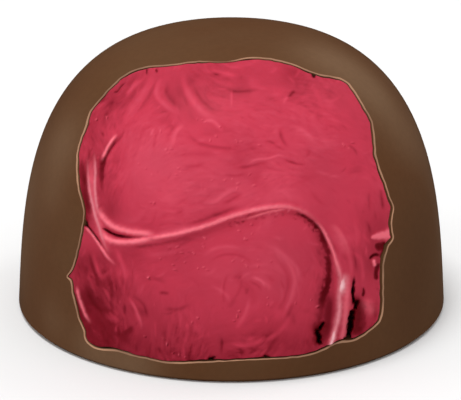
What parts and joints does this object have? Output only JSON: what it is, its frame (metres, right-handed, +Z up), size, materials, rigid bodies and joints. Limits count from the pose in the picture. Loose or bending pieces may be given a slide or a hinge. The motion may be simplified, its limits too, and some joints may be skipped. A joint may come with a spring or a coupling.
{
  "type": "chocolate praline",
  "caption": "Domed moulded chocolate praline with a flat base, its shell broken open at the front to show a folded berry cream filling.",
  "frame": {"origin": "centre of the flat base", "axes": "+Z up along the dome's axis, the broken opening faces -Y, +X to the right seen from the opening"},
  "size_m": [0.03, 0.03, 0.0192],
  "materials": {
    "milk_chocolate": "smooth satin moulded chocolate, paler and matt along the broken edge",
    "berry_cream": "soft semi-gloss cream with folds and smears"
  },
  "bodies": {
    "root": {"chocolate_shell": "milk_chocolate", "berry_filling": "berry_cream"}
  },
  "joints": []
}
